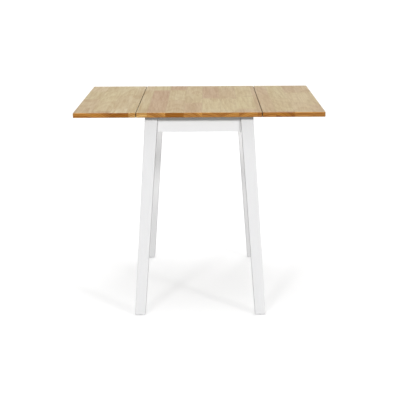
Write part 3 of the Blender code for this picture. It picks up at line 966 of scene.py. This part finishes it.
def fit_legs():
    """Square legs that taper and splay, each with a hole across its corner for its bolt."""
    for corner in CORNERS:
        node = f"{corner}_leg"
        low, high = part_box(node)
        sx, sy = corner_signs(node)
        inner = (min(abs(low.x), abs(high.x)), min(abs(low.y), abs(high.y)))
        outer = (max(abs(low.x), abs(high.x)), max(abs(low.y), abs(high.y)))
        foot = ([reach - LEG_FOOT_SIZE for reach in outer], outer)
        top = (inner, [reach + LEG_TOP_SIZE for reach in inner])
        rings = []
        for z, (near, far) in ((low.z, foot), (high.z, top)):
            section = [near, (far[0], near[1]), far, (near[0], far[1])]
            rings.append([(sx * x, sy * y, z) for x, y in section])
        bm = bridged(rings)
        soften(bm, LEG_ROUNDING, LEG_ROUNDING_STEPS)
        bolt = f"{corner}_hanger_bolt"
        bolt_low, bolt_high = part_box(bolt)
        depth = (bolt_high.x - bolt_low.x) * sqrt(2) / 2
        hole = lathe([(0.0, -depth), (BOLT_HOLE, -depth), (BOLT_HOLE, depth), (0.0, depth)])
        hole.transform(aimed(middle(bolt), (-sx, -sy, 0.0)))
        bm = carve(bm, hole)
        add_piece(f"{node}_wood", bm, WHITE["Z"], "white_frame", body_of(node), node)


def fit_arms():
    """The two support arms: bars with round ends and a bore for the pin."""
    for side, sign in (("left", -1.0), ("right", 1.0)):
        node = f"{side}_support_arm"
        low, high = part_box(node)
        pivot = middle(f"{side}_arm_pin")
        half = pivot.z - low.z
        tip = Vector(((high.x if sign > 0 else -low.x) - half, high.z - half))
        heel = Vector((abs(pivot.x), pivot.z))
        lean = (tip - heel).angle_signed(Vector((1.0, 0.0)))
        outline = arc(tip, half, lean - pi / 2, lean + pi / 2, ARM_END_STEPS)
        outline += arc(heel, half, lean + pi / 2, lean + 3 * pi / 2, ARM_END_STEPS)
        bm = bridged([[(sign * x, y, z) for x, z in outline] for y in (low.y, high.y)])
        soften(bm, ARM_ROUNDING, ARM_ROUNDING_STEPS)
        reach = high.y - low.y
        bore = ARM_PIN[0] + ARM_PIN_PLAY
        hole = lathe([(0.0, -reach), (bore, -reach), (bore, reach), (0.0, reach)])
        hole.transform(aimed(pivot, (0.0, 1.0, 0.0)))
        bm = carve(bm, hole)
        add_piece(f"{node}_wood", bm, WHITE["X"], "white_frame", body_of(node), node)


# Stage


def make_camera():
    data = bpy.data.cameras.new("camera")
    data.lens = CAMERA_LENS
    data.sensor_width = CAMERA_SENSOR
    data.shift_y = CAMERA_SHIFT
    data.clip_end = CAMERA_REACH
    camera = new_object("camera", data)
    turn = Matrix.Rotation(CAMERA_HEADING, 4, "Z")
    stand = Matrix.Translation((0.0, -CAMERA_DISTANCE, CAMERA_HEIGHT))
    tilt = Matrix.Rotation(pi / 2 - CAMERA_PITCH, 4, "X")
    camera.matrix_world = turn @ stand @ tilt @ Matrix.Rotation(-CAMERA_ROLL, 4, "Z")
    bpy.context.scene.camera = camera


def make_world():
    """An even white sky, which the camera sees as pure white."""
    world = bpy.data.worlds.new("studio")
    world.use_nodes = True
    tree = world.node_tree
    background = tree.nodes["Background"]
    background.inputs["Color"].default_value = (1.0, 1.0, 1.0, 1.0)
    rays = tree.nodes.new("ShaderNodeLightPath")
    strength = tree.nodes.new("ShaderNodeMath")
    strength.operation = "MULTIPLY_ADD"
    strength.inputs[1].default_value = 1.0 - SKY_STRENGTH
    strength.inputs[2].default_value = SKY_STRENGTH
    tree.links.new(rays.outputs["Is Camera Ray"], strength.inputs[0])
    tree.links.new(strength.outputs[0], background.inputs["Strength"])
    bpy.context.scene.world = world


def make_lamps():
    for name, (bearing, height, strength, angle) in LAMPS.items():
        data = bpy.data.lights.new(name, "SUN")
        data.energy = strength
        data.angle = angle
        lamp = new_object(name, data)
        lamp.rotation_euler = (pi / 2 - height, 0.0, bearing)
        # A low lamp would glare off the flat top when seen from the opposite side
        lamp.visible_glossy = height > LOW_LAMP


def make_panel():
    data = bpy.data.lights.new("panel", "AREA")
    data.shape = "RECTANGLE"
    data.size, data.size_y = PANEL_SIZE
    data.spread = PANEL_SPREAD
    data.energy = PANEL_POWER
    panel = new_object("panel", data)
    panel.location = PANEL_PLACE
    panel.rotation_euler.x = pi / 2
    panel.visible_camera = False
    panel.visible_glossy = False


def make_floor():
    """A plain floor, which the camera sees through from below."""
    bm = bmesh.new()
    bmesh.ops.create_grid(bm, x_segments=1, y_segments=1, size=FLOOR_SIZE / 2)
    mesh = bpy.data.meshes.new("floor")
    bm.to_mesh(mesh)
    bm.free()
    floor = new_object("floor", mesh)
    g = Graph("white_floor")
    rays = g.node("ShaderNodeLightPath").outputs["Is Camera Ray"]
    bounce = (FLOOR_BOUNCE, FLOOR_BOUNCE, FLOOR_BOUNCE, 1.0)
    seen = (FLOOR_ALBEDO, FLOOR_ALBEDO, FLOOR_ALBEDO, 1.0)
    g.set(
        Base_Color=g.mix(rays, bounce, seen),
        Roughness=1.0,
        Specular_IOR_Level=0.0,
        Emission_Color=(1.0, 1.0, 1.0, 1.0),
        Emission_Strength=g.math("MULTIPLY", rays, FLOOR_GLOW),
    )
    below = g.node("ShaderNodeNewGeometry").outputs["Backfacing"]
    see_through = g.node("ShaderNodeMixShader", {0: below, 1: g.shader.outputs[0]})
    g.feed(see_through.inputs[2], g.node("ShaderNodeBsdfTransparent").outputs[0])
    g.feed(g.tree.nodes["Material Output"].inputs["Surface"], see_through.outputs[0])
    mesh.materials.append(g.material)


def main():
    dress_kept_nodes()
    fit_legs()
    fit_arms()
    fit_hinges()
    fit_arm_hardware()
    fit_corner_plates()
    fit_top_fixings()
    fit_leg_bolts()
    fit_pins()
    fit_glides()
    make_camera()
    make_world()
    make_lamps()
    make_panel()
    make_floor()
    bpy.context.scene.view_settings.view_transform = "Standard"


main()
bpy.context.view_layer.update()
